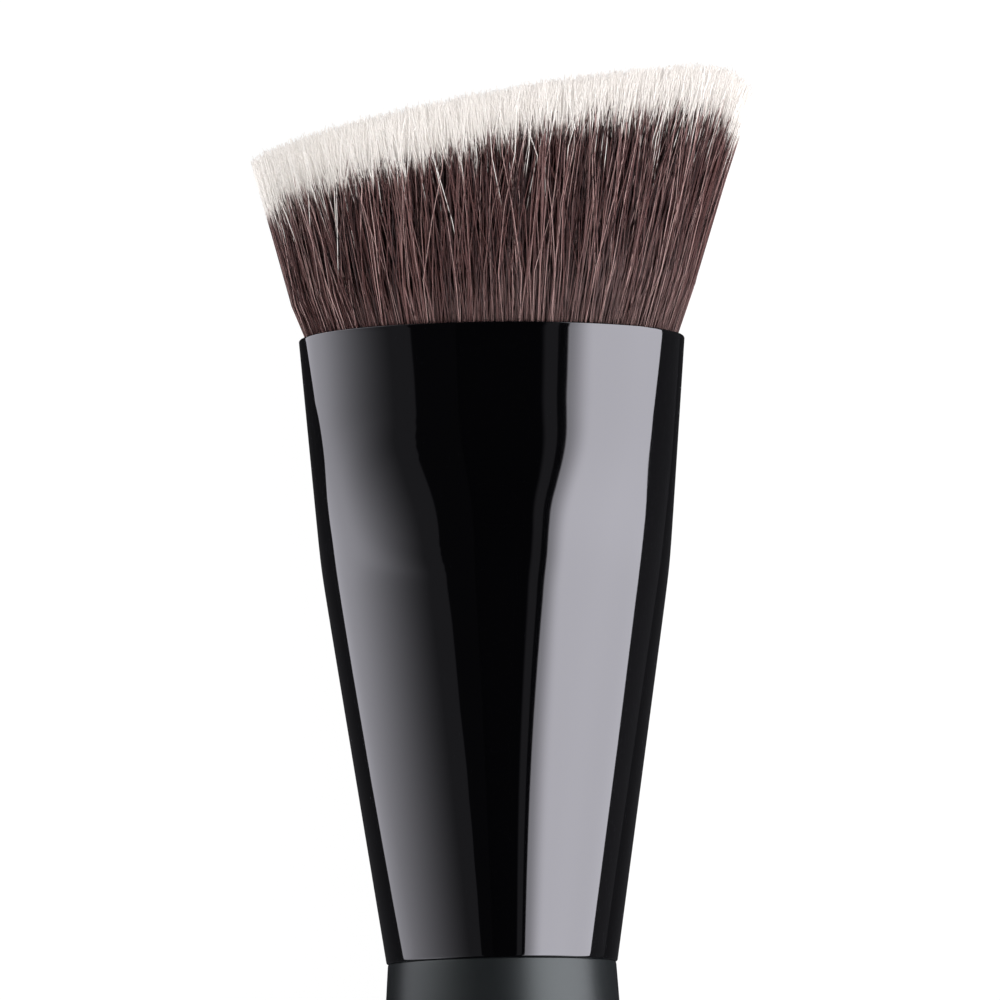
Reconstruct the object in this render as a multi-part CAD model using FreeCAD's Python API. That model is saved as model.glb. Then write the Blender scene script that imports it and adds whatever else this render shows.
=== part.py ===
"""Face brush with an angled, flat-topped head, lying on its broad side.

Four pieces: a turned handle with a tenon, a thin pressed ferrule that is round at its foot and oval at its
mouth, a resin plug that holds the roots, and the tuft of fibres. Each piece is drawn upright about the long
axis, with height 0 at the ferrule's foot, X across the broad side and the front towards -Y. The finished
brush is then laid on its back, with its head towards +Y and its front up. Lengths are in millimetres.
"""

import FreeCAD
import Part
import math
import os
import random

# Ferrule: outer size at the foot, at the bend in its sides and at the mouth
ferrule_length = 38.8
foot_radius = 7.02
bend_half_width = 10.81
bend_half_depth = 7.31
bend_drop = 14.4
bend_softness = 0.04
mouth_half_width = 12.08
mouth_half_depth = 5.33
belly_bulge = 0.36
wall = 0.45
rim_round = 0.12
section_step = 1.6

# Pressed zone below the mouth, where flat dies squeezed the front and back of the tube
press_drop = 15.9
press_slope_length = 10.2
press_half_depth = 5.15

# Handle: the tenon goes into the ferrule's foot, and the shoulder meets its rim
tenon_clearance = 0.05
tenon_gap = 2.5
tenon_chamfer = 0.8
groove_count = 3
groove_width = 1.0
groove_depth = 0.35
shoulder_inset = 0.07
shoulder_round = 0.12
handle_length = 104.0
handle_swell = 0.60
handle_belly_drop = 18.0
tail_taper = math.radians(2.4)

# Resin plug: a shallow cup about the roots
plug_clearance = 0.05
plug_floor = 2.5
plug_height = 8.0
plug_skin = 0.15

# Tuft: locks of fibre in rings, splayed from the mouth and cut at a slant
lock_rings = 12
tuft_clearance = 0.05
root_depth = 19.8
root_inset = 0.70
splay_across = 0.334
splay_curl = -0.0023
splay_curl_slant = 0.0005
splay_deep = 0.185
cut_height = 14.5
cut_slope = 0.175
heel_start = 0.5
heel_drop = 1.3
edge_drop = 0.5
lock_point = 0.9
lock_scatter = 0.18
flute_depth = 0.035
side_rows = 3
scatter_seed = 11

origin = FreeCAD.Vector(0, 0, 0)
long_axis = FreeCAD.Vector(0, 0, 1)
across = FreeCAD.Vector(1, 0, 0)


def soft_minimum(first, second, softness):
    """The lower of two values, rounded where they cross."""
    middle = (first + second) / 2
    return middle - math.hypot((first - second) / 2, softness)


def smooth_step(value, low, high):
    """0 below low, 1 above high, and an S-curve between them."""
    share = min(1.0, max(0.0, (value - low) / (high - low)))
    return share * share * (3 - 2 * share)


def outer_half_width(height):
    """Half the ferrule's width: a steep cone below the bend and a shallow one above it."""
    bend_height = ferrule_length - bend_drop
    lower = foot_radius + (bend_half_width - foot_radius) * height / bend_height
    upper = bend_half_width + (mouth_half_width - bend_half_width) * (height - bend_height) / bend_drop
    return soft_minimum(lower, upper, bend_softness)


def outer_half_depth(height):
    """Half the ferrule's depth: a bowed cone that steps down into the pressed zone."""
    share = height / (ferrule_length - bend_drop)
    bowed = foot_radius + (bend_half_depth - foot_radius) * share + 4 * belly_bulge * share * (1 - share)
    press_start = ferrule_length - press_drop
    press_end = press_start + press_slope_length
    rise = (mouth_half_depth - press_half_depth) / (press_drop - press_slope_length)
    pressed = press_half_depth + rise * (height - press_end)
    squeeze = smooth_step(height, press_start, press_end)
    return bowed * (1 - squeeze) + pressed * squeeze


def oval_wire(half_width, half_depth, height):
    """A closed oval across the long axis. The wider radius lies along X."""
    major = max(half_width, half_depth + 1e-6)
    oval = Part.Ellipse(FreeCAD.Vector(0, 0, height), major, half_depth)
    return Part.Wire(oval.toShape())


def tube_loft(inset, low, high):
    """A solid with the ferrule's form, taken in by inset, from one height to another."""
    count = max(2, math.ceil((high - low) / section_step))
    heights = [low + (high - low) * i / count for i in range(count + 1)]
    wires = [oval_wire(outer_half_width(z) - inset, outer_half_depth(z) - inset, z) for z in heights]
    return Part.makeLoft(wires, True, False)


def make_ferrule():
    """The pressed tube, open at both ends, with its rims slightly rounded."""
    outer = tube_loft(0, 0, ferrule_length)
    tube = outer.cut(tube_loft(wall, -section_step, ferrule_length + section_step))
    rounding = min(rim_round, wall / 3)
    rims = [e for e in tube.Edges if e.BoundBox.ZLength < rounding / 2]
    return tube.makeFillet(rounding, rims)


def root_height():
    """Height of the lower end of the fibres."""
    return ferrule_length - root_depth


def tenon_length():
    """The tenon ends a gap below the resin."""
    return root_height() - plug_floor - tenon_gap


def tenon_outline():
    """The tenon's outline from its top edge down to the shoulder, as (radius, height)."""
    radius = foot_radius - wall - tenon_clearance
    length = tenon_length()
    points = [(0, length), (radius - tenon_chamfer, length), (radius, length - tenon_chamfer)]
    for i in range(groove_count):
        middle = length * (groove_count - i) / (groove_count + 1)
        upper, lower = middle + groove_width / 2, middle - groove_width / 2
        bottom = radius - groove_depth
        points += [(radius, upper), (bottom, upper), (bottom, lower), (radius, lower)]
    return points + [(radius, 0)]


def on_arc(centre_radius, centre_height, arc_radius, angle):
    """A point of an arc in the outline's plane. Angle 0 points outwards, and 90 degrees points down."""
    return FreeCAD.Vector(
        centre_radius + arc_radius * math.cos(angle), 0, centre_height - arc_radius * math.sin(angle)
    )


def make_handle():
    """One turned piece: the tenon, the shoulder, a gentle belly, a long taper and a ball-shaped tail."""
    shoulder_radius = foot_radius - shoulder_inset
    outline = [FreeCAD.Vector(r, 0, z) for r, z in tenon_outline()]
    outline.append(FreeCAD.Vector(shoulder_radius - shoulder_round, 0, 0))
    edges = [Part.LineSegment(a, b).toShape() for a, b in zip(outline, outline[1:])]

    belly_span = handle_belly_drop - shoulder_round
    belly_arc = (belly_span**2 + handle_swell**2) / (2 * handle_swell)
    belly = (shoulder_radius + handle_swell - belly_arc, -handle_belly_drop, belly_arc)
    belly_start = -math.asin(belly_span / belly_arc)
    shoulder = (shoulder_radius - shoulder_round, -shoulder_round, shoulder_round)
    edges.append(Part.Arc(outline[-1], on_arc(*shoulder, -math.pi / 4), on_arc(*shoulder, 0)).toShape())
    belly_top = on_arc(*shoulder, 0)
    taper_top = on_arc(*belly, tail_taper)
    edges.append(Part.Arc(belly_top, on_arc(*belly, belly_start / 2), taper_top).toShape())

    reach = taper_top.x * math.cos(tail_taper) - (taper_top.z + handle_length) * math.sin(tail_taper)
    tail_radius = reach / (1 - math.sin(tail_taper))
    tail = (0, tail_radius - handle_length, tail_radius)
    taper_end = on_arc(*tail, tail_taper)
    tail_end = on_arc(*tail, math.pi / 2)
    edges.append(Part.LineSegment(taper_top, taper_end).toShape())
    edges.append(Part.Arc(taper_end, on_arc(*tail, math.pi / 4), tail_end).toShape())
    edges.append(Part.LineSegment(tail_end, outline[0]).toShape())
    return Part.Face(Part.Wire(edges)).revolve(origin, long_axis, 360)


def mouth_reach():
    """Half width and half depth of the tuft where it leaves the mouth."""
    inset = wall + tuft_clearance
    return outer_half_width(ferrule_length) - inset, outer_half_depth(ferrule_length) - inset


def root_reach():
    """Half width and half depth of the tuft at its roots, within the resin's skin."""
    inset = wall + plug_clearance + plug_skin
    return outer_half_width(root_height()) - inset, mouth_reach()[1] - root_inset


def make_plug():
    """The resin cup: it fills the ferrule under the roots and rises about them."""
    bottom = root_height() - plug_floor
    top = bottom + plug_height
    body = tube_loft(wall + plug_clearance, bottom, top)
    share = (top - root_height()) / root_depth
    socket_foot = root_reach()
    socket_top = [low + (high - low) * share for low, high in zip(socket_foot, mouth_reach())]
    sections = [oval_wire(*socket_foot, root_height()), oval_wire(*socket_top, top)]
    return body.cut(Part.makeLoft(sections, True, True))


def fibre_point(u, v, rise):
    """Where the fibre rooted at (u, v) of the unit disc is, at a rise above the mouth."""
    half_width, half_depth = mouth_reach()
    curl = splay_curl + splay_curl_slant * u
    width = half_width + splay_across * rise + curl * rise * rise
    depth = half_depth + splay_deep * rise
    return FreeCAD.Vector(u * width, v * depth, ferrule_length + rise)


def root_point(u, v):
    """Where the same fibre ends inside the ferrule."""
    half_width, half_depth = root_reach()
    return FreeCAD.Vector(u * half_width, v * half_depth, root_height())


def cut_rise(u, v):
    """Rise of the slanted cut over that fibre, with its raised end and its outer edge eased down."""
    heel = max(0.0, (u - heel_start) / (1 - heel_start))
    eased = heel_drop * heel**3 + edge_drop * (u * u + v * v) ** 3
    rise = cut_height
    for _ in range(4):
        rise = cut_height + cut_slope * fibre_point(u, v, rise).x - eased
    return rise


def lock_lattice():
    """Locks in rings on the unit disc, six more in each ring, the triangles between them, and the rim."""
    first = [0]
    spots = [(0.0, 0.0)]
    for ring in range(1, lock_rings + 1):
        first.append(len(spots))
        share = ring / lock_rings
        turns = [math.tau * i / (6 * ring) for i in range(6 * ring)]
        spots += [(share * math.cos(turn), share * math.sin(turn)) for turn in turns]

    def number(ring, i):
        return first[ring] + (i % (6 * ring) if ring else 0)

    triangles = []
    for ring in range(1, lock_rings + 1):
        for sector in range(6):
            for i in range(ring):
                outer = sector * ring + i
                inner = sector * (ring - 1) + i
                here, there, below = number(ring, outer), number(ring, outer + 1), number(ring - 1, inner)
                triangles.append((here, there, below))
                if i < ring - 1:
                    triangles.append((there, number(ring - 1, inner + 1), below))
    return spots, triangles, [number(lock_rings, i) for i in range(6 * lock_rings)]


def triangle_face(a, b, c):
    """A flat face with three corners."""
    return Part.Face(Part.makePolygon([a, b, c, a]))


def make_tuft():
    """One closed solid: pointed locks on the cut, and flutes between the outer locks down the sides."""
    spots, triangles, rim = lock_lattice()
    scatter = random.Random(scatter_seed)
    tips = []
    for u, v in spots:
        rise = cut_rise(u, v) + scatter.uniform(-lock_scatter, lock_scatter)
        tips.append(fibre_point(u, v, rise))

    def valley(u, v):
        return fibre_point(u, v, cut_rise(u, v) - lock_point)

    beside = {}
    for corners in triangles:
        low = valley(sum(spots[n][0] for n in corners) / 3, sum(spots[n][1] for n in corners) / 3)
        for n in range(3):
            beside.setdefault(frozenset((corners[n], corners[n - 1])), []).append(low)

    columns = []
    for here, there in zip(rim, rim[1:] + rim[:1]):
        u = (spots[here][0] + spots[there][0]) / 2 * (1 - flute_depth)
        v = (spots[here][1] + spots[there][1]) / 2 * (1 - flute_depth)
        notch = valley(u, v)
        beside[frozenset((here, there))].append(notch)
        columns.append((*spots[here], tips[here]))
        columns.append((u, v, notch))
    faces = [triangle_face(tips[n], *lows) for pair, lows in beside.items() for n in pair]

    rows = []
    for u, v, top in columns:
        rise = top.z - ferrule_length
        flank = [fibre_point(u, v, rise * k / side_rows) for k in range(side_rows)]
        rows.append([root_point(u, v)] + flank + [top])
    for here, there in zip(rows, rows[1:] + rows[:1]):
        for k in range(len(here) - 1):
            faces.append(triangle_face(here[k], there[k], there[k + 1]))
            faces.append(triangle_face(here[k], there[k + 1], here[k + 1]))
    floor = [row[0] for row in rows]
    faces.append(Part.Face(Part.makePolygon(floor + floor[:1])))

    tuft = Part.Solid(Part.Shell(faces))
    if tuft.Volume < 0:
        tuft.reverse()
    return tuft


def surface_points(shape):
    """Points all over a shape, close enough to measure its reach."""
    return shape.tessellate(0.01)[0]


def lean_angle(ferrule, handle):
    """The lean, in radians, at which the backs of the ferrule and the handle touch the table together."""
    backs = [[(p.y, p.z) for p in surface_points(piece) if p.y > 0] for piece in (ferrule, handle)]

    def lowest(back, lean):
        return min(height * math.sin(lean) - depth * math.cos(lean) for depth, height in back)

    low, high = -math.radians(10), math.radians(10)
    for _ in range(40):
        middle = (low + high) / 2
        if lowest(backs[0], middle) < lowest(backs[1], middle):
            low = middle
        else:
            high = middle
    return (low + high) / 2


def lay_down(pieces):
    """Lays the brush on its back, centres it over the origin and sets its lowest point at height 0."""
    lean = lean_angle(pieces["ferrule"], pieces["handle"])
    turn = FreeCAD.Placement(origin, FreeCAD.Rotation(across, math.degrees(lean) - 90))
    laid = {name: piece.transformed(turn.toMatrix(), copy=True) for name, piece in pieces.items()}
    points = [p for piece in laid.values() for p in surface_points(piece)]
    low = [min(p[i] for p in points) for i in range(3)]
    high = [max(p[i] for p in points) for i in range(3)]
    shift = FreeCAD.Vector(-(low[0] + high[0]) / 2, -(low[1] + high[1]) / 2, -low[2])
    for piece in laid.values():
        piece.translate(shift)
    print("lean", round(math.degrees(lean), 4), "ferrule's foot at", [round(c, 3) for c in shift])
    return laid


def main():
    upright = {
        "handle": make_handle(),
        "ferrule": make_ferrule(),
        "resin_plug": make_plug(),
        "bristle_tuft": make_tuft(),
    }
    os.makedirs("parts", exist_ok=True)
    for name, piece in lay_down(upright).items():
        piece.exportStep(f"parts/{name}.step")
        print(name, "valid", piece.isValid(), "solids", len(piece.Solids), "volume", round(piece.Volume, 1))


main()
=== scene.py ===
# Face brush with an angled head, lying on its back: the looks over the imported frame.
# Shapes are worked out in millimetres about the brush's long axis: x across, height from the ferrule's foot
# towards the head, and depth towards the viewer. place() turns them into metres on the floor.

import math

import bpy
import numpy as np
from mathutils import Matrix, Vector


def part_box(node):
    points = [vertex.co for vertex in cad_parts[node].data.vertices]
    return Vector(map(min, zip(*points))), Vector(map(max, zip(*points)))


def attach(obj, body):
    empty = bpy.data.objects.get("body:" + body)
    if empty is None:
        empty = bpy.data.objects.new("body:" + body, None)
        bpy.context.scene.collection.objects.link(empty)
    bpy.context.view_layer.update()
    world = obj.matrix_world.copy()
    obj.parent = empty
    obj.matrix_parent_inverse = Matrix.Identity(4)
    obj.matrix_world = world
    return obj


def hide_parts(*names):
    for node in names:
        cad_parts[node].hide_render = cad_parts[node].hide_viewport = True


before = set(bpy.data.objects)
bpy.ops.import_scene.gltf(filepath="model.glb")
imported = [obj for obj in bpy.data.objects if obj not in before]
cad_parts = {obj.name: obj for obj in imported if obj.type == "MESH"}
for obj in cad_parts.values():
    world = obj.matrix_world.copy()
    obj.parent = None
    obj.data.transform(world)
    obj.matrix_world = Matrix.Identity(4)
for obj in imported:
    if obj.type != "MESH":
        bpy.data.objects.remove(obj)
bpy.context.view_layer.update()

ferruleLow, ferruleHigh = (np.array(corner) * 1000 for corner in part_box("ferrule"))
handleLow = np.array(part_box("handle")[0]) * 1000
axisX = (ferruleLow[0] + ferruleHigh[0]) / 2
axisZ = (ferruleLow[2] + ferruleHigh[2]) / 2
footY = ferruleLow[1]
mouthHeight = ferruleHigh[1] - ferruleLow[1]
mouthHalfWidth = (ferruleHigh[0] - ferruleLow[0]) / 2
print("frame: mouth", round(mouthHeight, 2), "mm above the foot, axis", round(axisZ, 2),
      "mm above the floor")


# shared mesh and material tools

def place(across, height, depth):
    # brush millimetres to floor metres: the three arrays moved to the axis and divided by 1000
    points = np.stack(np.broadcast_arrays(across + axisX, height + footY, depth + axisZ), axis=-1)
    return points.reshape(-1, 3) / 1000


def makeObject(name, points, faces, material, smooth=True):
    # faces is a list of arrays, each with one row of corner numbers per face
    mesh = bpy.data.meshes.new(name)
    corners = np.concatenate([part.ravel() for part in faces]).astype(np.int32)
    sizes = np.concatenate([np.full(len(part), part.shape[1]) for part in faces])
    starts = np.concatenate(([0], np.cumsum(sizes)[:-1])).astype(np.int32)
    mesh.vertices.add(len(points))
    mesh.vertices.foreach_set("co", points.astype(np.float32).ravel())
    mesh.loops.add(len(corners))
    mesh.loops.foreach_set("vertex_index", corners)
    mesh.polygons.add(len(sizes))
    mesh.polygons.foreach_set("loop_start", starts)
    mesh.polygons.foreach_set("use_smooth", np.full(len(sizes), smooth))
    mesh.update(calc_edges=True)
    mesh.validate()
    piece = bpy.data.objects.new(name, mesh)
    bpy.context.scene.collection.objects.link(piece)
    mesh.materials.append(material)
    return piece


def gridFaces(rows, columns, closed=True):
    # quads of a grid whose point number is row * columns + column; where it is closed, the last column is
    # joined to the first
    row = np.arange(rows - 1)[:, None]
    column = np.arange(columns if closed else columns - 1)[None, :]
    beside = (column + 1) % columns
    corners = (row * columns + column, row * columns + beside,
               (row + 1) * columns + beside, (row + 1) * columns + column)
    return np.stack(corners, axis=-1).reshape(-1, 4)


def smoothStep(value, low, high):
    # 0 below low, 1 above high, and 3 s^2 - 2 s^3 between them
    share = np.clip((value - low) / (high - low), 0, 1)
    return share * share * (3 - 2 * share)


def newMaterial(name):
    # a material with its nodes, its links and its shader
    material = bpy.data.materials.new(name)
    material.use_nodes = True
    nodes, links = material.node_tree.nodes, material.node_tree.links
    return material, nodes, links, nodes["Principled BSDF"]


def linearColor(red, green, blue):
    # colours are written as sRGB shares of 255 and used as linear light
    shares = np.array([red, green, blue]) / 255
    linear = np.where(shares <= 0.04045, shares / 12.92, ((shares + 0.055) / 1.055) ** 2.4)
    return (*linear.tolist(), 1.0)


# camera

cameraLook = {
    "position": (-5.97, -12.54, 237.96),    # brush millimetres
    "target": (0.34, 28.594, 0.0),
    "roll": 0.0163,                         # radians
    "lens": 140.1, "sensor": 36,            # millimetres
    "clipStart": 0.01,                      # metres
}


def addCamera(look):
    # faces the target from the position, with its up direction leaning by the roll
    position = Vector(place(*look["position"])[0])
    target = Vector(place(*look["target"])[0])
    forward = (target - position).normalized()
    upHint = Vector((math.sin(look["roll"]), math.cos(look["roll"]), 0))
    right = forward.cross(upHint).normalized()
    up = right.cross(forward)
    data = bpy.data.cameras.new("camera")
    data.lens = look["lens"]
    data.sensor_width = look["sensor"]
    data.clip_start = look["clipStart"]
    camera = bpy.data.objects.new("camera", data)
    turn = Matrix((right, up, -forward)).transposed().to_4x4()
    camera.matrix_world = Matrix.Translation(position) @ turn
    bpy.context.scene.collection.objects.link(camera)
    bpy.context.scene.camera = camera


addCamera(cameraLook)
print("camera set")


# lacquer surfaces

surfaceLook = {
    "inputs": {"Ripple Scale": 60.0, "Speck Scale": 900.0, "Roughness": 0.1, "Spread": 0.02},
    "rippleDetail": 1.0, "speckDetail": 3.0,
    "speckShare": 0.15,                     # the specks' height beside the ripples'
}


def lacquerGroup(look):
    # orange peel and fine specks of a sprayed lacquer: the height is the ripple plus a share of the speck,
    # and the roughness is the mean one plus the spread times (speck - 0.5)
    group = bpy.data.node_groups.new("lacquerSurface", "ShaderNodeTree")
    for name, value in look["inputs"].items():
        socket = group.interface.new_socket(name, in_out="INPUT", socket_type="NodeSocketFloat")
        socket.default_value = value
    for name in ("Height", "Roughness"):
        group.interface.new_socket(name, in_out="OUTPUT", socket_type="NodeSocketFloat")
    nodes, links = group.nodes, group.links
    inside, outside = nodes.new("NodeGroupInput"), nodes.new("NodeGroupOutput")
    spot = nodes.new("ShaderNodeTexCoord")
    ripple, speck = nodes.new("ShaderNodeTexNoise"), nodes.new("ShaderNodeTexNoise")
    ripple.inputs["Detail"].default_value = look["rippleDetail"]
    speck.inputs["Detail"].default_value = look["speckDetail"]
    for noise, scale in ((ripple, "Ripple Scale"), (speck, "Speck Scale")):
        links.new(spot.outputs["Object"], noise.inputs["Vector"])
        links.new(inside.outputs[scale], noise.inputs["Scale"])
    centred = nodes.new("ShaderNodeMath")
    centred.operation = "SUBTRACT"
    centred.inputs[1].default_value = 0.5
    links.new(speck.outputs["Fac"], centred.inputs[0])
    spread = nodes.new("ShaderNodeMath")
    spread.operation = "MULTIPLY_ADD"
    links.new(centred.outputs[0], spread.inputs[0])
    links.new(inside.outputs["Spread"], spread.inputs[1])
    links.new(inside.outputs["Roughness"], spread.inputs[2])
    height = nodes.new("ShaderNodeMath")
    height.operation = "MULTIPLY_ADD"
    height.inputs[1].default_value = look["speckShare"]
    links.new(speck.outputs["Fac"], height.inputs[0])
    links.new(ripple.outputs["Fac"], height.inputs[2])
    links.new(height.outputs[0], outside.inputs["Height"])
    links.new(spread.outputs[0], outside.inputs["Roughness"])
    return group


lacquerSurface = lacquerGroup(surfaceLook)


def lacquerMaterial(name, look):
    # black lacquer with the shared surface, whose height becomes its bump
    material, nodes, links, shader = newMaterial(name)
    surface = nodes.new("ShaderNodeGroup")
    surface.node_tree = lacquerSurface
    for socket in surfaceLook["inputs"]:
        surface.inputs[socket].default_value = look[socket]
    bump = nodes.new("ShaderNodeBump")
    bump.inputs["Strength"].default_value = look["bumpStrength"]
    bump.inputs["Distance"].default_value = look["bumpHeight"] / 1000
    links.new(surface.outputs["Height"], bump.inputs["Height"])
    links.new(bump.outputs["Normal"], shader.inputs["Normal"])
    links.new(surface.outputs["Roughness"], shader.inputs["Roughness"])
    shader.inputs["Base Color"].default_value = linearColor(*look["color"])
    shader.inputs["Specular IOR Level"].default_value = look["specular"]
    shader.inputs["Specular Tint"].default_value = linearColor(*look["specularTint"])
    shader.inputs["Coat Weight"].default_value = look["coat"]
    shader.inputs["Coat Roughness"].default_value = look["coatRoughness"]
    return material


# ferrule

ferruleLook = {
    "footRadius": 7.02, "bellyBulge": 0.36,
    "bendHalfWidth": 10.81, "bendHalfDepth": 7.31, "bendDrop": 14.4, "bendSoftness": 0.04,
    "mouthHalfDepth": 5.33, "pressDrop": 15.9, "pressSlopeLength": 10.2, "pressHalfDepth": 5.15,
    "depthSoftness": 0.6, "wall": 0.45, "rimRound": 0.12,
    "rows": 160, "insideRows": 30, "roundSteps": 6, "around": 256,
    "material": {
        "Ripple Scale": 90.0, "Speck Scale": 2500.0, "Roughness": 0.045, "Spread": 0.02,
        "bumpStrength": 0.10, "bumpHeight": 0.01,
        "color": (3, 3, 4), "specular": 0.5, "specularTint": (255, 255, 255),
        "coat": 1.0, "coatRoughness": 0.03,
    },
}


def ferruleHalfWidth(height):
    # the lower of two cones, rounded where they cross: mean - hypot(half difference, softness)
    look = ferruleLook
    bend = mouthHeight - look["bendDrop"]
    atFoot, atBend = look["footRadius"], look["bendHalfWidth"]
    lower = atFoot + (atBend - atFoot) * height / bend
    upper = atBend + (mouthHalfWidth - atBend) * (height - bend) / look["bendDrop"]
    return (lower + upper) / 2 - np.hypot((lower - upper) / 2, look["bendSoftness"])


def ferruleHalfDepth(height):
    # the mean of the sharp profile at five steps along the height, with the weights 1, 4, 6, 4, 1
    step, weights = ferruleLook["depthSoftness"], (1, 4, 6, 4, 1)
    total = sum(weight * sharpHalfDepth(height + (i - 2) * step) for i, weight in enumerate(weights))
    return total / sum(weights)


def sharpHalfDepth(height):
    # a bowed cone, and an S-curve from it to the straight line of the pressed zone
    look = ferruleLook
    share = height / (mouthHeight - look["bendDrop"])
    bowed = (look["footRadius"] + (look["bendHalfDepth"] - look["footRadius"]) * share
             + 4 * look["bellyBulge"] * share * (1 - share))
    start = mouthHeight - look["pressDrop"]
    end = start + look["pressSlopeLength"]
    rise = (look["mouthHalfDepth"] - look["pressHalfDepth"]) / (mouthHeight - end)
    pressed = look["pressHalfDepth"] + rise * (height - end)
    squeeze = smoothStep(height, start, end)
    return bowed * (1 - squeeze) + pressed * squeeze


def buildFerrule(material):
    # a closed loop of (inset, height) carried round the oval: outside, mouth rim, inside, foot rim
    look = ferruleLook
    rim, wall = look["rimRound"], look["wall"]
    top, bottom = mouthHeight - rim, rim
    rise = np.linspace(bottom, top, look["rows"])
    inside = np.linspace(top, bottom, look["insideRows"])[1:-1]
    turn = np.linspace(0, math.pi / 2, look["roundSteps"])
    inward, outward = rim * (1 - np.cos(turn)), rim * np.sin(turn)
    loop = [(0 * rise, rise), (inward[1:], top + outward[1:]), (wall - inward[::-1], top + outward[::-1]),
            (0 * inside + wall, inside), (wall - inward, bottom - outward),
            (inward[:0:-1], bottom - outward[:0:-1])]
    inset, height = (np.concatenate(column) for column in zip(*loop))
    angle = np.linspace(0, 2 * math.pi, look["around"], endpoint=False)
    level = np.clip(height, 0, mouthHeight)[:, None]
    across = (ferruleHalfWidth(level) - inset[:, None]) * np.sin(angle)
    depth = (ferruleHalfDepth(level) - inset[:, None]) * np.cos(angle)
    points = place(across, height[:, None], depth)
    count = len(height)
    faces = gridFaces(count + 1, look["around"]) % (count * look["around"])
    return makeObject("ferruleShell", points, [faces], material)


ferruleMaterial = lacquerMaterial("glossBlackLacquer", ferruleLook["material"])
ferrule = buildFerrule(ferruleMaterial)
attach(ferrule, "root")
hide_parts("ferrule")
print("ferrule built")


# handle

handleLook = {
    "shoulderInset": 0.07, "shoulderRound": 0.12,
    "swell": 0.60, "bellyDrop": 18.0, "tailTaper": math.radians(2.4),
    "tenonRadius": 6.52, "tenonLength": 14.0, "tenonChamfer": 0.8,
    "grooveCount": 3, "grooveWidth": 1.0, "grooveDepth": 0.35, "grooveSlope": 0.02,
    "roundSteps": 6, "bellySteps": 60, "coneSteps": 40, "tailSteps": 24, "around": 160,
    "material": {
        "Ripple Scale": 260.0, "Speck Scale": 5200.0, "Roughness": 0.36, "Spread": 0.10,
        "bumpStrength": 0.4, "bumpHeight": 0.012,
        "color": (15, 17, 18), "specular": 0.49, "specularTint": (246, 255, 249),
        "coat": 0.0, "coatRoughness": 0.3,
    },
}


def handleProfile(look):
    # (radius, height) from the tenon's end down to the tail: grooves, shoulder round, belly arc, cone and ball
    tenon, length = look["tenonRadius"], look["tenonLength"]
    points = [(tenon - look["tenonChamfer"], length), (tenon, length - look["tenonChamfer"])]
    bottom, slope = tenon - look["grooveDepth"], look["grooveSlope"]
    for i in range(look["grooveCount"]):
        middle = length * (look["grooveCount"] - i) / (look["grooveCount"] + 1)
        upper, lower = middle + look["grooveWidth"] / 2, middle - look["grooveWidth"] / 2
        points += [(tenon, upper), (bottom, upper - slope), (bottom, lower + slope), (tenon, lower)]
    points += [(tenon, 0.0)]
    shoulder = ferruleLook["footRadius"] - look["shoulderInset"]
    rounding = look["shoulderRound"]
    turn = np.linspace(0, math.pi / 2, look["roundSteps"])
    edge = np.stack([shoulder - rounding * (1 - np.sin(turn)), -rounding * (1 - np.cos(turn))], axis=1)
    span = look["bellyDrop"] - rounding
    arc = (span**2 + look["swell"] ** 2) / (2 * look["swell"])
    turn = np.linspace(-math.asin(span / arc), look["tailTaper"], look["bellySteps"])[1:]
    belly = np.stack([shoulder + look["swell"] - arc + arc * np.cos(turn),
                      -look["bellyDrop"] - arc * np.sin(turn)], axis=1)
    total = footY - handleLow[1]
    sine, cosine = math.sin(look["tailTaper"]), math.cos(look["tailTaper"])
    ball = (belly[-1, 0] * cosine - (belly[-1, 1] + total) * sine) / (1 - sine)
    turn = np.linspace(look["tailTaper"], math.pi / 2, look["tailSteps"])[:-1]
    tail = np.stack([ball * np.cos(turn), ball - total - ball * np.sin(turn)], axis=1)
    share = np.linspace(0, 1, look["coneSteps"])[1:-1, None]
    cone = belly[-1] * (1 - share) + tail[0] * share
    return np.concatenate([np.array(points), edge, belly, cone, tail]), -total


def buildHandle(look, material):
    # the profile turned about the long axis, with one point at each end to close it
    profile, tailEnd = handleProfile(look)
    around = look["around"]
    angle = np.linspace(0, 2 * math.pi, around, endpoint=False)
    across, depth = profile[:, :1] * np.sin(angle), profile[:, :1] * np.cos(angle)
    points = np.concatenate([place(across, profile[:, 1:], depth), place(0, look["tenonLength"], 0),
                             place(0, tailEnd, 0)])
    rows = len(profile)
    ring = np.arange(around)
    beside = (ring + 1) % around
    top = np.stack([np.full(around, rows * around), ring, beside], axis=1)
    last = (rows - 1) * around
    tail = np.stack([np.full(around, rows * around + 1), last + beside, last + ring], axis=1)
    faces = [gridFaces(rows, around)[:, ::-1], top[:, ::-1], tail[:, ::-1]]
    return makeObject("handleTurned", points, faces, material)


handleMaterial = lacquerMaterial("satinBlackLacquer", handleLook["material"])
handle = buildHandle(handleLook, handleMaterial)
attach(handle, "root")
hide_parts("handle")
print("handle built")


# resin plug (a CAD node, inside the ferrule)

resinLook = {
    "pale": (196, 168, 112), "deep": (142, 104, 52), "cloudScale": 260.0, "cloudDetail": 4.0,
    "cloudEnds": (0.35, 0.7),               # the noise that is still deep, and the noise that is fully pale
    "roughness": 0.22,
}


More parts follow.
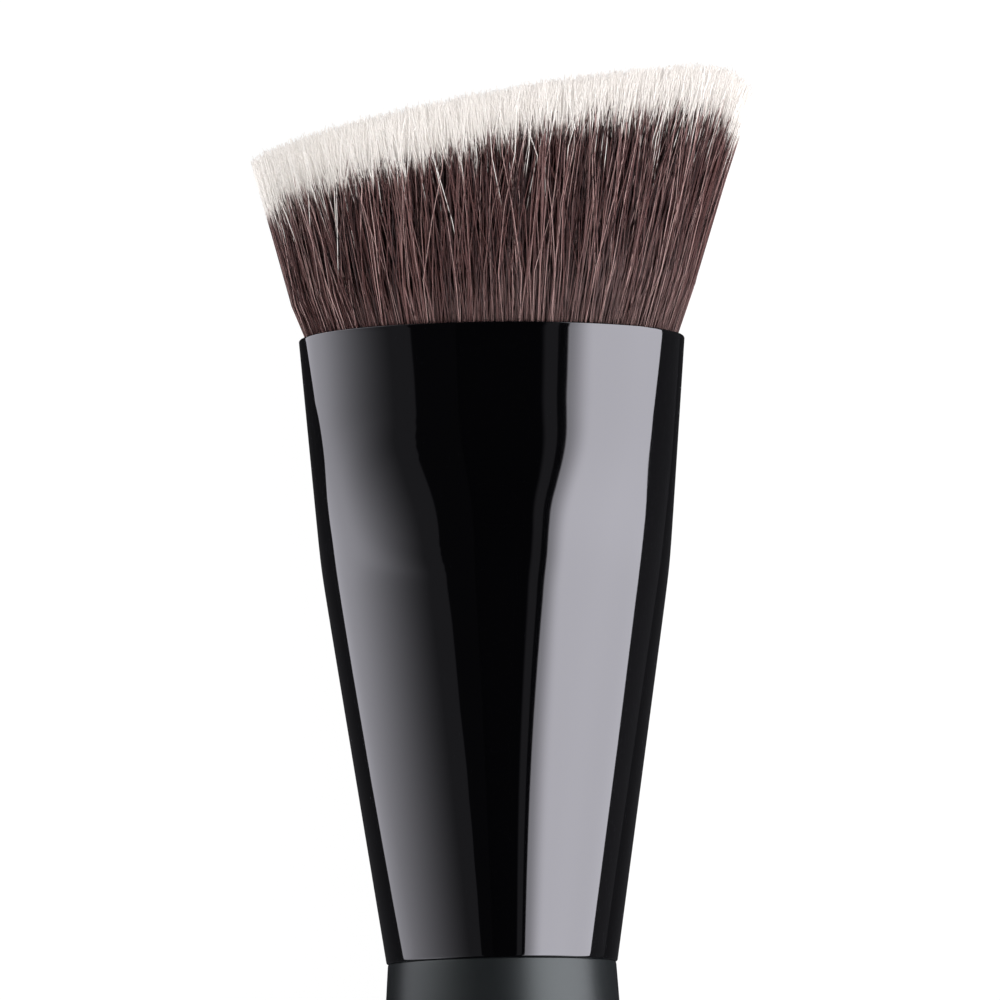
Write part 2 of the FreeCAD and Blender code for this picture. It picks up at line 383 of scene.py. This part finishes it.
def resinMaterial(look):
    # cloudy resin: noise mixes the deep colour with the pale one
    material, nodes, links, shader = newMaterial("curedResin")
    spot, cloud = nodes.new("ShaderNodeTexCoord"), nodes.new("ShaderNodeTexNoise")
    cloud.inputs["Scale"].default_value = look["cloudScale"]
    cloud.inputs["Detail"].default_value = look["cloudDetail"]
    ramp = nodes.new("ShaderNodeValToRGB")
    for element, end, color in zip(ramp.color_ramp.elements, look["cloudEnds"], ("deep", "pale")):
        element.position, element.color = end, linearColor(*look[color])
    links.new(spot.outputs["Object"], cloud.inputs["Vector"])
    links.new(cloud.outputs["Fac"], ramp.inputs["Fac"])
    links.new(ramp.outputs["Color"], shader.inputs["Base Color"])
    shader.inputs["Roughness"].default_value = look["roughness"]
    return material


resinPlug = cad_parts["resin_plug"]
resinPlug.data.materials.clear()
resinPlug.data.materials.append(resinMaterial(resinLook))
print("resin plug dressed")


# tuft

goldenShare = (math.sqrt(5) - 1) / 2

tuftLook = {
    # the tuft's form: its splay, its cut and the bulge at its rim
    "wall": 0.50, "splayAcross": 0.318, "splayCurl": -0.0005, "splayCurlSlant": 0.0015, "splayDeep": 0.185,
    "cutHeight": 14.17, "cutSlope": 0.175, "heelStart": 0.6, "heelDrop": 1.5, "edgeDrop": 0.35,
    "rimBulge": 0.58, "rimBulgeDeep": 0.6, "rimBulgeRise": 0.15, "rimBulgeFade": 2.3,
    # a fibre's form; the powers crowd its rings near the tip and let it bend late
    "tipRadius": 0.017, "tipLength": 1.5, "pointLength": 0.03, "floorGap": 0.03,
    "ringPower": 1.5, "bendPower": 1.3,
    # how fibres stand: scatter of the feet, drift from foot to tip, and waves that gather them into locks
    "seed": 7, "turnScatter": 0.01, "reachScatter": 0.006,
    "drift": 1.3, "strayShare": 0.40, "strayDrift": 2.2, "driftDeep": 0.6,
    "bow": 0.38, "sway": 0.20, "clump": 0.22, "clumpFineness": (16, 34, 16),
    "tipScatter": 0.15, "tipLocks": 0.24, "tipFineness": 60,
    "waves": 24, "wavePitch": (0.6, 1.6), "waveStretch": 2.1,
    # length of the white by place across, its extra at both ends of the head, and the longer white of some
    # outer fibres: their share, and the least and most that it adds
    "whiteLength": ((-1, -0.4, 0.2, 1), (3.3, 3.3, 2.85, 2.95)), "whiteScatter": 0.45,
    "edgeWhite": 0.35, "edgeWhiteRim": (0.93, 0.99),
    "spikes": ((0.10, 0.4, 2.6), (0.010, 1.0, 5.0)), "spikeRim": (0.90, 0.96),
    # tones run from 0 to 1: some fibres are paler, and those behind the outermost ones get painted shade
    "toneMiddle": 0.45, "toneScatter": 0.22, "toneLimits": (0.03, 0.97), "toneStep": 0.004,
    "lightShare": 0.20, "lightGain": (0.15, 0.5), "innerPaintedShade": 0.42, "innerPaintedShadeSpan": (0.004, 0.045),
    # painted light: the roots near the mouth are mixed towards a paler brown, for the light that they catch
    "brown": ((8, 3, 3), (90, 61, 59), (184, 154, 150)), "rootPaintedLight": (128, 108, 106), "rootPaintedLightShare": 0.4,
    "white": ((188, 183, 178), (203, 200, 197)),
    # the map: its length in millimetres, the part that it uses, and where the roots' painted light and white
    # begin and end
    "mapLength": 40.0, "mapLimits": (0.01, 0.99), "rootPaintedLightEnds": (0.19, 0.33), "whiteEnds": (0.494, 0.512),
    # painted light: white tips glow for the light that they pass on to each other; its share along the map
    "whitePaintedGlow": 0.345,
    "paintedGlowAlong": ((0.494, 0.503, 0.512, 0.526, 0.548, 0.576),
                  ((0, 0, 0), (0.20, 0.13, 0.115), (0.70, 0.67, 0.645), (0.74, 0.71, 0.68),
                   (0.95, 0.912, 0.88), (1, 0.96, 0.925))),
    "roughness": 0.42, "specular": 0.35, "specularTint": (255, 226, 222),
}


tuftParts = {
    # how many fibres, the shares of the radius and the directions in degrees that they stand between (0 is
    # the front), their radius, their rings, and where they start: at a rise above the mouth, or at a length
    # below the tip where that is higher
    "tuftFront": {"fibres": 5700, "reach": (0.80, 1), "turn": (-90, 90), "radius": 0.026, "rings": 6,
                  "start": -1.5, "length": 99},
    "tuftFrontInner": {"fibres": 4500, "reach": (0.55, 0.80), "turn": (-90, 90), "radius": 0.034, "rings": 5,
                       "start": -1.5, "length": 99},
    "tuftBack": {"fibres": 5500, "reach": (0.75, 1), "turn": (90, 270), "radius": 0.034, "rings": 5,
                 "start": -1.5, "length": 99},
    "tuftBackInner": {"fibres": 2600, "reach": (0.55, 0.75), "turn": (90, 270), "radius": 0.036, "rings": 3,
                      "start": 0.0, "length": 9},
    "tuftCore": {"fibres": 6500, "reach": (0, 0.55), "turn": (-180, 180), "radius": 0.036, "rings": 3,
                 "start": 0.0, "length": 9},
    "tuftTips": {"fibres": 10000, "reach": (0, 1), "turn": (-180, 180), "radius": 0.030, "rings": 2,
                 "start": 0.0, "length": 3},
}


def tuftPoint(u, v, rise):
    # the part's own splay: (u * width, v * depth), both wider with the rise above the mouth, and a bulge that
    # swells at the rim and fades, (1 - e^(-rise / a)) e^(-rise / b)
    look = tuftLook
    above = np.maximum(rise, 0)
    bulge = look["rimBulge"] * (1 - np.exp(-above / look["rimBulgeRise"]))
    bulge = bulge * np.exp(-above / look["rimBulgeFade"])
    width = mouthHalfWidth - look["wall"] + bulge + look["splayAcross"] * rise
    width = width + (look["splayCurl"] + look["splayCurlSlant"] * u) * rise * rise
    mouthDepth = ferruleLook["mouthHalfDepth"] - look["wall"]
    depth = mouthDepth + bulge * look["rimBulgeDeep"] + look["splayDeep"] * rise
    return u * width, mouthHeight + rise, v * depth


def cutRise(u, v):
    # slope times x above the cut height, less the fifth power of the heel and the sixth power of the rim; x
    # depends on the rise itself, so four rounds settle it
    look = tuftLook
    heel = np.clip((u - look["heelStart"]) / (1 - look["heelStart"]), 0, None)
    eased = look["heelDrop"] * heel**5 + look["edgeDrop"] * (u * u + v * v) ** 3
    rise = np.full_like(u, look["cutHeight"])
    for _ in range(4):
        rise = look["cutHeight"] + look["cutSlope"] * tuftPoint(u, v, rise)[0] - eased
    return rise


def waveField(u, v, seed, fine):
    # a smooth random field: the mean of sine waves of random direction, phase and pitch, times the root of 2
    look = tuftLook
    random = np.random.default_rng(seed)
    turn, phase = random.uniform(0, math.tau, (2, look["waves"]))
    pitch = fine * random.uniform(*look["wavePitch"], look["waves"])
    across = np.outer(u * look["waveStretch"], pitch * np.cos(turn))
    deep = np.outer(v, pitch * np.sin(turn))
    return np.sin(across + deep + phase).mean(axis=1) * math.sqrt(2)


def insideDisc(u, v):
    # points moved in along the radius where they lie beyond the unit disc by more than a thousandth
    beyond = np.maximum(1, np.hypot(u, v) / 1.001)
    return u / beyond, v / beyond


def fibrePaths(look, part, seed):
    # each fibre's foot and tip on the unit disc, its tip's rise, where its white begins, its tone, bow and
    # sway. The golden ratio spreads the feet evenly, and a tip drifts by chance and with its neighbours
    random = np.random.default_rng(seed)
    count = part["fibres"]
    inner, outer = part["reach"]
    reach = np.sqrt(inner**2 + (outer**2 - inner**2) * (np.arange(count) + 0.5) / count)
    first, last = np.radians(part["turn"])
    turn = first + (last - first) * (np.arange(count) * goldenShare % 1)
    turn += random.normal(0, look["turnScatter"], count)
    reach = np.clip(reach + random.normal(0, look["reachScatter"], count), 0, 1.0)
    u, v = reach * np.sin(turn), reach * np.cos(turn)
    rise = cutRise(u, v)
    halfWidth = mouthHalfWidth + look["splayAcross"] * rise
    halfDepth = ferruleLook["mouthHalfDepth"] + look["splayDeep"] * rise
    drift = np.where(random.random(count) < look["strayShare"], look["strayDrift"], look["drift"])
    locks = [look["clump"] * waveField(u, v, i, fine) for i, fine in enumerate(look["clumpFineness"])]
    driftX = random.normal(0, 1, count) * drift + locks[0] + locks[1]
    driftZ = random.normal(0, look["driftDeep"], count) * drift + locks[2]
    tipU, tipV = insideDisc(u + driftX / halfWidth, v + driftZ / halfDepth)
    tipRise = cutRise(tipU, tipV) + random.normal(0, look["tipScatter"], count)
    tipRise += look["tipLocks"] * waveField(tipU, tipV, len(locks), look["tipFineness"])

    white = np.interp(tipU, *look["whiteLength"]) + random.normal(0, look["whiteScatter"], count)
    white += look["edgeWhite"] * smoothStep(np.abs(tipU), *look["edgeWhiteRim"])
    middle = np.hypot(u + tipU, v + tipV) / 2
    spike = random.random(count) + 1 - smoothStep(middle, *look["spikeRim"])
    for share, least, most in look["spikes"]:
        white += np.where(spike < share, random.uniform(least, most, count), 0)

    tone = look["toneMiddle"] + random.normal(0, look["toneScatter"], count)
    # painted shade: the fibres behind the outermost ones are made darker, for the shadow among the fibres
    tone -= look["innerPaintedShade"] * smoothStep(1 - middle, *look["innerPaintedShadeSpan"])
    paler = random.random(count) < look["lightShare"]
    tone += np.where(paler, random.uniform(*look["lightGain"], count), 0)
    swing = np.array([look["bow"], look["bow"] / 2, look["sway"], look["sway"] / 2])
    curve = random.normal(0, 1, (4, count)) * swing[:, None]
    return u, v, tipU, tipV, tipRise, tipRise - white, np.clip(tone, *look["toneLimits"]), curve


def buildFibres(name, part, paths, seed, material):
    # three-sided rods along the paths, tapered to a point; each path is a line from foot to tip plus
    # bow * sin(pi t) and sway * sin(2 pi t), kept inside the tuft
    look, rings = tuftLook, part["rings"]
    u, v, tipU, tipV, tipRise, whiteRise, tone, curve = (item[..., None] for item in paths)
    count = part["fibres"]
    share = 1 - (1 - np.linspace(0, 1, rings)) ** look["ringPower"]
    start = np.maximum(part["start"], tipRise - part["length"])
    rise = start * (1 - share) + tipRise * share
    lift = np.clip(rise / tipRise, 0, 1)
    bend = lift ** look["bendPower"]
    arch, sway = np.sin(lift * math.pi), np.sin(lift * math.tau)
    pathU = u * (1 - bend) + tipU * bend + (curve[0] * arch + curve[2] * sway) / mouthHalfWidth
    pathV = v * (1 - bend) + tipV * bend + (curve[1] * arch + curve[3] * sway) / ferruleLook["mouthHalfDepth"]
    across, height, depth = tuftPoint(*insideDisc(pathU, pathV), rise)
    taper = smoothStep(tipRise - rise, 0, look["tipLength"])
    thick = (look["tipRadius"] + (part["radius"] - look["tipRadius"]) * taper)[:, :, None]
    corner = np.random.default_rng(seed).uniform(0, math.tau, (count, 1, 1)) + np.arange(3) * math.tau / 3
    ringX = across[:, :, None] + thick * np.sin(corner)
    ringZ = np.maximum(depth[:, :, None] + thick * np.cos(corner), look["floorGap"] - axisZ)
    ringY = np.broadcast_to(height[:, :, None], ringX.shape)
    body = place(ringX, ringY, ringZ).reshape(count, rings * 3, 3)
    tips = place(across[:, -1], height[:, -1] + look["pointLength"], depth[:, -1]).reshape(count, 1, 3)
    points = np.concatenate([body, tips], axis=1).reshape(-1, 3)

    first = np.arange(count)[:, None, None] * (rings * 3 + 1)
    sides = (first + gridFaces(rings, 3)[None]).reshape(-1, 4)
    top, tip = (rings - 1) * 3, rings * 3
    caps = np.array([[top, top + 1, tip], [top + 1, top + 2, tip], [top + 2, top, tip], [0, 2, 1]])
    caps = (first + caps[None]).reshape(-1, 3)
    piece = makeObject(name, points, [sides, caps], material)
    mapFibres(piece, tone, rise - whiteRise, rings)
    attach(piece, "root")
    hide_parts("bristle_tuft")


def mapFibres(piece, tone, aboveWhite, rings):
    # the map's numbers at each corner: the fibre's tone, a little apart on its three sides, and 0.5 plus the
    # rise above the start of the white over the map's length
    look = tuftLook
    along = np.clip(0.5 + aboveWhite / look["mapLength"], *look["mapLimits"])
    along = np.concatenate([np.repeat(along, 3, axis=1), along[:, -1:]], axis=1).ravel()
    toneAt = tone + np.append(np.tile([-look["toneStep"], 0.0, look["toneStep"]], rings), 0.0)
    corners = np.empty(len(piece.data.loops), dtype=np.int32)
    piece.data.loops.foreach_get("vertex_index", corners)
    layer = piece.data.uv_layers.new(name="OFBake")
    spots = np.stack([toneAt.ravel()[corners], along[corners]], axis=1)
    layer.uv.foreach_set("vector", spots.astype(np.float32).ravel())


def fibreMaterial(look):
    # the map's first number picks the tone, and its second is the way along: a paler root brown, painted light
    # on the roots, fades into the tone's brown, which turns into the tone's white, and the white carries a
    # faint painted glow
    material, nodes, links, shader = newMaterial("syntheticFibre")
    spot, parts = nodes.new("ShaderNodeUVMap"), nodes.new("ShaderNodeSeparateXYZ")
    spot.uv_map = "OFBake"
    links.new(spot.outputs["UV"], parts.inputs["Vector"])

    def ramp(source, positions, colors):
        # a colour ramp over one of the map's numbers
        node = nodes.new("ShaderNodeValToRGB")
        elements = node.color_ramp.elements
        while len(elements) < len(positions):
            elements.new(0.5)
        for element, position, color in zip(elements, positions, colors):
            element.position, element.color = position, (*color[:3], 1)
        links.new(parts.outputs[source], node.inputs["Fac"])
        return node.outputs["Color"]

    brown = ramp("X", (0.0, 0.5, 1.0), [linearColor(*color) for color in look["brown"]])
    white = ramp("X", (0.0, 1.0), [linearColor(*color) for color in look["white"]])
    isWhite = ramp("Y", look["whiteEnds"], ((0, 0, 0), (1, 1, 1)))
    # painted light: a paler brown mixed in near the mouth
    isRootPaintedLight = ramp("Y", look["rootPaintedLightEnds"], ((look["rootPaintedLightShare"],) * 3, (0, 0, 0)))
    root, whole = nodes.new("ShaderNodeMix"), nodes.new("ShaderNodeMix")
    root.data_type = whole.data_type = "RGBA"
    root.inputs["B"].default_value = linearColor(*look["rootPaintedLight"])
    links.new(isRootPaintedLight, root.inputs["Factor"])
    links.new(brown, root.inputs["A"])
    links.new(isWhite, whole.inputs["Factor"])
    links.new(root.outputs["Result"], whole.inputs["A"])
    links.new(white, whole.inputs["B"])
    links.new(whole.outputs["Result"], shader.inputs["Base Color"])
    # painted light: the white tips glow by emission, though they are no lamp
    links.new(ramp("Y", *look["paintedGlowAlong"]), shader.inputs["Emission Color"])
    shader.inputs["Emission Strength"].default_value = look["whitePaintedGlow"]
    shader.inputs["Specular Tint"].default_value = linearColor(*look["specularTint"])
    shader.inputs["Roughness"].default_value = look["roughness"]
    shader.inputs["Specular IOR Level"].default_value = look["specular"]
    return material


fibre = fibreMaterial(tuftLook)
for seed, (name, part) in enumerate(tuftParts.items(), tuftLook["seed"]):
    buildFibres(name, part, fibrePaths(tuftLook, part, seed), seed, fibre)
print("tuft built:", sum(part["fibres"] for part in tuftParts.values()), "fibres")


# studio: floor, cards, flags and lamps

leftHeights = (-12, 0, 10, 20, 30, 38, 46, 55, 66, 80, 100)

studioLook = {
    "floorHalf": 3000.0, "floorGrey": 0.9, "floorRoughness": 0.9,
    "floorGlow": 0.93, "floorStrength": 1.04,
    "cardTint": (1.0, 0.985, 1.085), "shade": 0.008, "cardLift": 0.35,
    "flank": (6.5, 2.5),                    # where directions are told from, across and deep
    # right card: distance, brightness, the direction of its inner edge by height, how far it takes to fill
    # and how it fades at its far side; spans and steps are (first, last, count)
    "rightDistance": 260.0, "rightSpan": (-220, 420, 65), "rightLimit": 99,
    "rightSteps": ((-10, 1, 45), (1.5, 20, 40), (22, 80, 40)),
    "rightGlow": 5.05, "rightEdgeShare": 0.41,
    "rightEdge": ((-20, 5, 20, 35, 70, 105, 150, 200, 250),
                  (19.6, 19.5, 19.75, 20.3, 22.3, 23.05, 24.0, 24.95, 25.8)),
    "rightFill": ((-30, 40, 70, 240), (19.0, 13.5, 10.0, 10.5)),
    "rightFade": 0.24, "rightFadeSpan": (30, 85),
    "sliver": 0.11, "sliverFrom": -7.8, "sliverTo": -3.2,
    # left card: nearer, and dark towards the viewer, all by height
    "leftDistance": 100.0, "leftSpan": (-120, 320, 111), "leftSteps": (10, 106, 160),
    "leftGlow": (leftHeights, (1.34, 1.49, 1.74, 2.08, 2.32, 2.36, 2.40, 2.40, 2.35, 2.25, 1.99)),
    "leftDark": (leftHeights, (-1.8, 0.0, 2.0, 4.3, 7.0, 9.95, 12.3, 14.9, 17.2, 18.7, 20.2)),
    "leftFull": (leftHeights, (106.9, 103.4, 101.2, 99.3, 95.0, 90.5, 86.0, 85.5, 88.5, 92.2, 98.1)),
    "leftPower": (leftHeights, (1.51, 1.64, 1.76, 1.82, 1.82, 1.75, 1.58, 1.56, 1.47, 1.32, 1.20)),
    "leftEdge": ((-10, 4, 14, 25, 40, 52, 62, 74, 90, 114),
                 (17.5, 18.4, 19.3, 20.4, 21.0, 21.8, 22.7, 23.7, 24.4, 24.6)),
    "leftEdgeGlow": 0.11,
    # dark grey floor close to the brush
    "nearFloorAcross": (-45.0, 30.0), "nearFloorAlong": (-90.0, 90.0), "nearFloorLift": 0.25,
    "nearFloorGlow": 0.028,
    # grey flags standing beside the brush: how far out, and the top edge of each by height
    "flagOut": 24.0, "flagLift": 0.4, "flagSpan": (-90, 60, 301),
    "rightFlagGlow": 0.068, "leftFlagGlow": 0.034,
    "rightFlagTop": ((-2, 4, 9, 12.2, 15.5, 18.9, 22.3, 25, 29.5,
                      31.3, 32.5, 33.4, 34.1, 34.6, 35.4, 36.5, 38, 40),
                     (2.65, 2.55, 2.7, 2.85, 3.15, 3.55, 3.95, 4.12, 4.15,
                      4.35, 4.9, 5.6, 6.4, 7.15, 6.7, 6.3, 5.75, 5.15)),
    "leftFlagTop": ((-1, 2, 6, 10.5, 14, 17.5, 20.8, 24, 27.2, 29.7,
                     31, 32.2, 33, 33.6, 34.2, 35, 36, 37.4, 39, 41),
                    (-5.3, -5.8, -6.05, -6.1, -5.65, -5.2, -4.5, -3.7, -3.05, -2.55,
                     -1.75, -0.45, 0.4, 0.7, 0.5, -0.15, -1.4, -2.15, -3.2, -4.7)),
    "roomHalf": 700.0, "roomLift": 0.15, "roomGrey": 0.004,
    # lamps: position, size and power
    "lamps": {
        "rightLamp": ((215, -5, 150), 140, 1.18),
        "leftLamp": ((-230, 15, 120), 140, 0.68),
        "frontLamp": ((20, -120, 330), 160, 0.05),
        "headLamp": ((0, 330, 110), 200, 0.22),
    },
    "lampAim": (0, 40, 0),
}


def seenRays(nodes, links):
    # 1 for camera, glossy and transmission rays, and 0 for the others
    path = nodes.new("ShaderNodeLightPath")
    seen = path.outputs["Is Camera Ray"]
    for ray in ("Is Glossy Ray", "Is Transmission Ray"):
        either = nodes.new("ShaderNodeMath")
        either.operation = "MAXIMUM"
        links.new(seen, either.inputs[0])
        links.new(path.outputs[ray], either.inputs[1])
        seen = either.outputs[0]
    return seen


def floorMaterial(look):
    # white to the camera and to reflections, with a share of plain white that keeps the shadow
    material, nodes, links, shader = newMaterial("paleFloor")
    grey = look["floorGrey"]
    shader.inputs["Base Color"].default_value = (grey, grey, grey, 1)
    shader.inputs["Roughness"].default_value = look["floorRoughness"]
    shader.inputs["Specular IOR Level"].default_value = 0.0
    glow, mix = nodes.new("ShaderNodeEmission"), nodes.new("ShaderNodeMixShader")
    glow.inputs["Strength"].default_value = look["floorStrength"]
    share = nodes.new("ShaderNodeMath")
    share.operation = "MULTIPLY"
    share.inputs[1].default_value = look["floorGlow"]
    links.new(seenRays(nodes, links), share.inputs[0])
    links.new(share.outputs[0], mix.inputs["Fac"])
    links.new(shader.outputs["BSDF"], mix.inputs[1])
    links.new(glow.outputs["Emission"], mix.inputs[2])
    links.new(mix.outputs["Shader"], nodes["Material Output"].inputs["Surface"])
    return material


def cardMaterial():
    # a card glows as its vertices' attribute says
    material, nodes, links, _ = newMaterial("softCard")
    glow, light = nodes.new("ShaderNodeEmission"), nodes.new("ShaderNodeAttribute")
    light.attribute_name = "glow"
    links.new(light.outputs["Color"], glow.inputs["Color"])
    links.new(glow.outputs["Emission"], nodes["Material Output"].inputs["Surface"])
    return material


def reflectionOnly(piece):
    # a card or flag that only reflections see
    piece.visible_camera = piece.visible_diffuse = piece.visible_shadow = False
    piece.visible_transmission = piece.visible_volume_scatter = False


def byHeight(name, height):
    # a studio setting read between its stated heights
    return np.interp(height, *studioLook[name])


def addCard(name, across, height, depth, glow, material):
    # a card that shines by the glow at each of its points, and that only reflections see
    faces = [gridFaces(*across.shape, closed=False)]
    card = makeObject(name, place(across, height, depth), faces, material, smooth=False)
    layer = card.data.attributes.new("glow", "FLOAT_COLOR", "POINT")
    tinted = glow.reshape(-1, 1) * np.array(studioLook["cardTint"])
    colors = np.concatenate([tinted, np.ones((glow.size, 1))], axis=1)
    layer.data.foreach_set("color", colors.astype(np.float32).ravel())
    reflectionOnly(card)


def bentCard(angle, distance):
    # points on a tube about the brush, and just above the floor where the tube would go below it
    lift = axisZ - studioLook["cardLift"]
    radius = np.minimum(distance, lift / np.clip(-np.cos(angle), 1e-4, None))
    return radius * np.sin(angle), radius * np.cos(angle)


def seenFrom(across, depth, side):
    # the direction, in degrees from the viewer, of a point as seen from the ferrule's flank
    flankX, flankZ = studioLook["flank"]
    return np.degrees(np.arctan2(across - side * flankX, depth - flankZ))


def addFloor(look):
    # a square under the brush
    half = look["floorHalf"]
    corners = place(np.array([-half, half, half, -half]), np.array([-half, -half, half, half]), -axisZ)
    floor = makeObject("floor", corners, [np.array([[0, 1, 2, 3]])], floorMaterial(look), smooth=False)


def addRightCard(look, material):
    # a faint sliver, a gap and a sharp edge, then light that fills from the edge's share to all of it
    steps = np.concatenate([np.linspace(*span) for span in look["rightSteps"]])[None, :]
    height = np.linspace(*look["rightSpan"])[:, None] + 0 * steps
    edge = byHeight("rightEdge", height)
    angle = np.radians(np.minimum(edge - 1 + steps, look["rightLimit"]))
    across, depth = bentCard(angle, look["rightDistance"])
    inward = seenFrom(across, depth, 1) - edge
    filled = smoothStep(inward, 0, byHeight("rightFill", height))
    glow = look["rightGlow"] * (look["rightEdgeShare"] + (1 - look["rightEdgeShare"]) * filled)
    glow = glow * (1 - look["rightFade"] * smoothStep(inward, *look["rightFadeSpan"]))
    sliver = look["sliver"] * smoothStep(inward, look["sliverFrom"] - 1, look["sliverFrom"] + 1)
    sliver = np.where(inward < look["sliverTo"], sliver, look["shade"])
    addCard("rightCard", across, height, depth, np.where(inward > 0, glow, sliver), material)


def addLeftCard(look, material):
    # brightest round the side: the glow times a power of the rise from dark to full
    steps = np.linspace(*look["leftSteps"])[None, :]
    height = np.linspace(*look["leftSpan"])[:, None] + 0 * steps
    across, depth = bentCard(np.radians(-steps) + 0 * height, look["leftDistance"])
    outward = -seenFrom(across, depth, -1)
    rise = smoothStep(outward, byHeight("leftDark", height), byHeight("leftFull", height))
    glow = byHeight("leftGlow", height) * rise ** byHeight("leftPower", height)
    glow = np.maximum(glow, look["leftEdgeGlow"])
    glow = np.where(outward < byHeight("leftEdge", height), look["shade"], glow)
    addCard("leftCard", across, height, depth, glow, material)


def addNearFloor(look, material):
    # an even card just above the floor
    across, height = np.meshgrid(np.array(look["nearFloorAcross"]), np.array(look["nearFloorAlong"]))
    depth = np.full_like(across, look["nearFloorLift"] - axisZ)
    addCard("nearFloor", across, height, depth, np.full_like(across, look["nearFloorGlow"]), material)


def addFlags(look, material):
    # upright strips on both sides, which end the cards' light along the flanks
    low = look["flagLift"] - axisZ
    for side, name in ((1, "rightFlag"), (-1, "leftFlag")):
        height = np.linspace(*look["flagSpan"])[:, None] + np.zeros((1, 2))
        depth = low + (byHeight(f"{name}Top", height) - low) * np.array([0.0, 1.0])
        across = np.full_like(height, side * look["flagOut"])
        addCard(name, across, height, depth, np.full_like(height, look[f"{name}Glow"]), material)


def addRoom(look):
    # a black box about all of it, for reflections only
    black, _, _, shader = newMaterial("blackCloth")
    grey = look["roomGrey"]
    shader.inputs["Base Color"].default_value = (grey, grey, grey, 1)
    shader.inputs["Specular IOR Level"].default_value = 0.0
    side, low = look["roomHalf"], look["roomLift"] - axisZ
    across = np.array([-side, side, side, -side] * 2)
    height = np.array([-side, -side, side, side] * 2)
    walls = np.array([[0, 1, 2, 3], [7, 6, 5, 4], [0, 4, 5, 1], [1, 5, 6, 2], [2, 6, 7, 3], [3, 7, 4, 0]])
    corners = place(across, height, np.repeat([low, side], 4))
    reflectionOnly(makeObject("blackRoom", corners, [walls], black, smooth=False))


def addWorld():
    # white to the camera; its reflections and what shines through are white too, behind the black room
    world = bpy.data.worlds.new("whiteRoom")
    bpy.context.scene.world = world
    world.use_nodes = True
    nodes, links = world.node_tree.nodes, world.node_tree.links
    back = nodes["Background"]
    back.inputs["Color"].default_value = (1, 1, 1, 1)
    links.new(seenRays(nodes, links), back.inputs["Strength"])


def addLamp(name, position, size, power):
    # a square area lamp that points at the head, and doesn't show in the lacquer
    data = bpy.data.lights.new(name, "AREA")
    data.size = size / 1000
    data.energy = power
    lamp = bpy.data.objects.new(name, data)
    spot = Vector(place(*position)[0])
    aim = Vector(place(*studioLook["lampAim"])[0]) - spot
    lamp.matrix_world = Matrix.Translation(spot) @ aim.to_track_quat("-Z", "Y").to_matrix().to_4x4()
    lamp.visible_glossy = lamp.visible_camera = False
    bpy.context.scene.collection.objects.link(lamp)


addFloor(studioLook)
softCard = cardMaterial()
addRightCard(studioLook, softCard)
addLeftCard(studioLook, softCard)
addNearFloor(studioLook, softCard)
addFlags(studioLook, softCard)
addRoom(studioLook)
addWorld()
for name, (position, size, power) in studioLook["lamps"].items():
    addLamp(name, position, size, power)
scene = bpy.context.scene
scene.view_settings.view_transform = "Standard"
scene.cycles.max_bounces = 16
scene.cycles.diffuse_bounces = 12
print("studio set")
